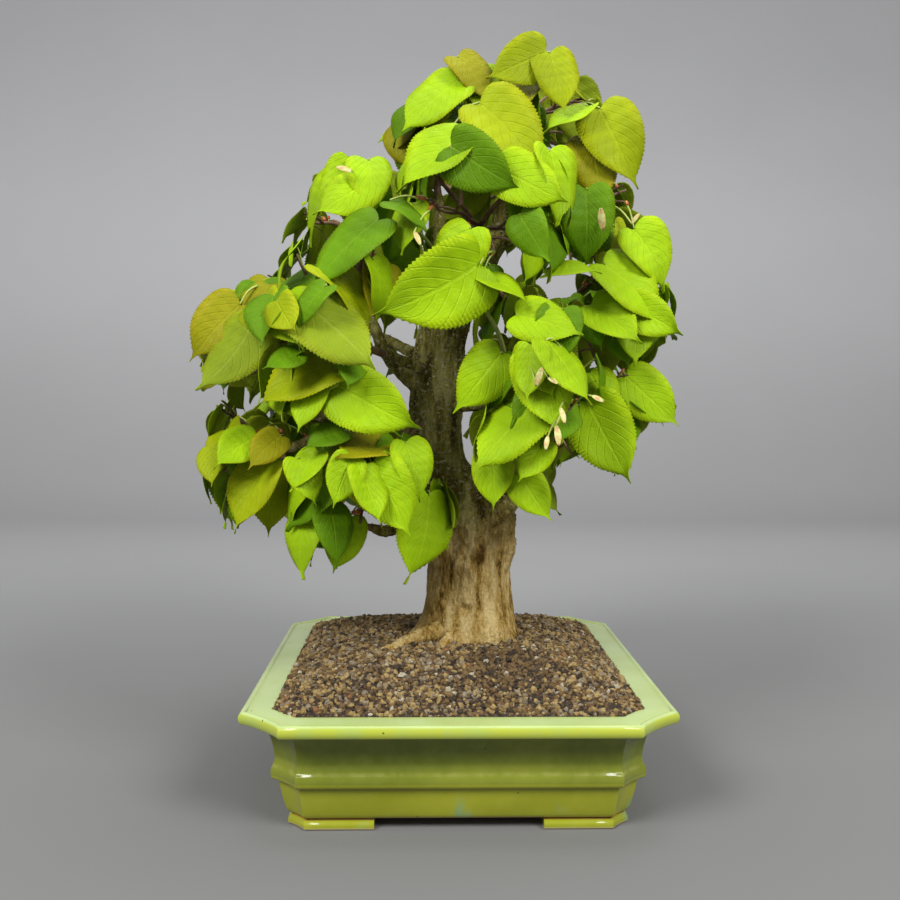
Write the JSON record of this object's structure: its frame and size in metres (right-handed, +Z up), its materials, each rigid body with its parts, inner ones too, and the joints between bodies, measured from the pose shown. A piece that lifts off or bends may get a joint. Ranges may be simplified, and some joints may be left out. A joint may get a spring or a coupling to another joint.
{
  "type": "small-leaved linden bonsai in a glazed pot",
  "caption": "Small-leaved linden bonsai in spring leaf, with a thick leaning trunk and layered foliage, in a footed green glazed pot with cut corners.",
  "frame": {"origin": "ground level under the middle of the whole plant's box, with the pot's middle 15 mm to the +X side of it", "axes": "+Z up, +X to the right as seen from the front, -Y towards the front of the pot"},
  "size_m": [0.3722, 0.308, 0.5398],
  "materials": {
    "green_glaze": "glossy green glaze on stoneware",
    "granular_soil": "coarse granular soil",
    "linden_bark": "finely fissured bark",
    "bough_bark": "smooth bark with pale pores",
    "linden_leaf": "young leaf, satin"
  },
  "bodies": {
    "root": {"bough_back_left": "bough_bark", "bough_back_right": "bough_bark", "bough_back_top": "bough_bark", "bough_centre_front": "bough_bark", "bough_left": "bough_bark", "bough_left_front": "bough_bark", "bough_left_hanging": "bough_bark", "bough_left_rising": "bough_bark", "bough_low_back_left": "bough_bark", "bough_low_back_right": "bough_bark", "bough_low_left": "bough_bark", "bough_right": "bough_bark", "bough_right_middle": "bough_bark", "bough_top": "bough_bark", "bough_upper_front": "bough_bark", "bough_upper_left": "bough_bark", "bough_upper_right": "bough_bark", "foliage_apex": "linden_leaf", "foliage_back_left": "linden_leaf", "foliage_back_right": "linden_leaf", "foliage_back_top": "linden_leaf", "foliage_centre_front": "linden_leaf", "foliage_left": "linden_leaf", "foliage_left_front": "linden_leaf", "foliage_left_hanging": "linden_leaf", "foliage_left_rising": "linden_leaf", "foliage_low_back_left": "linden_leaf", "foliage_low_back_right": "linden_leaf", "foliage_low_left": "linden_leaf", "foliage_low_right": "linden_leaf", "foliage_right": "linden_leaf", "foliage_upper_front": "linden_leaf", "foliage_upper_left": "linden_leaf", "foliage_upper_right": "linden_leaf", "pot": "green_glaze", "soil": "granular_soil", "trunk": "linden_bark"}
  },
  "joints": []
}
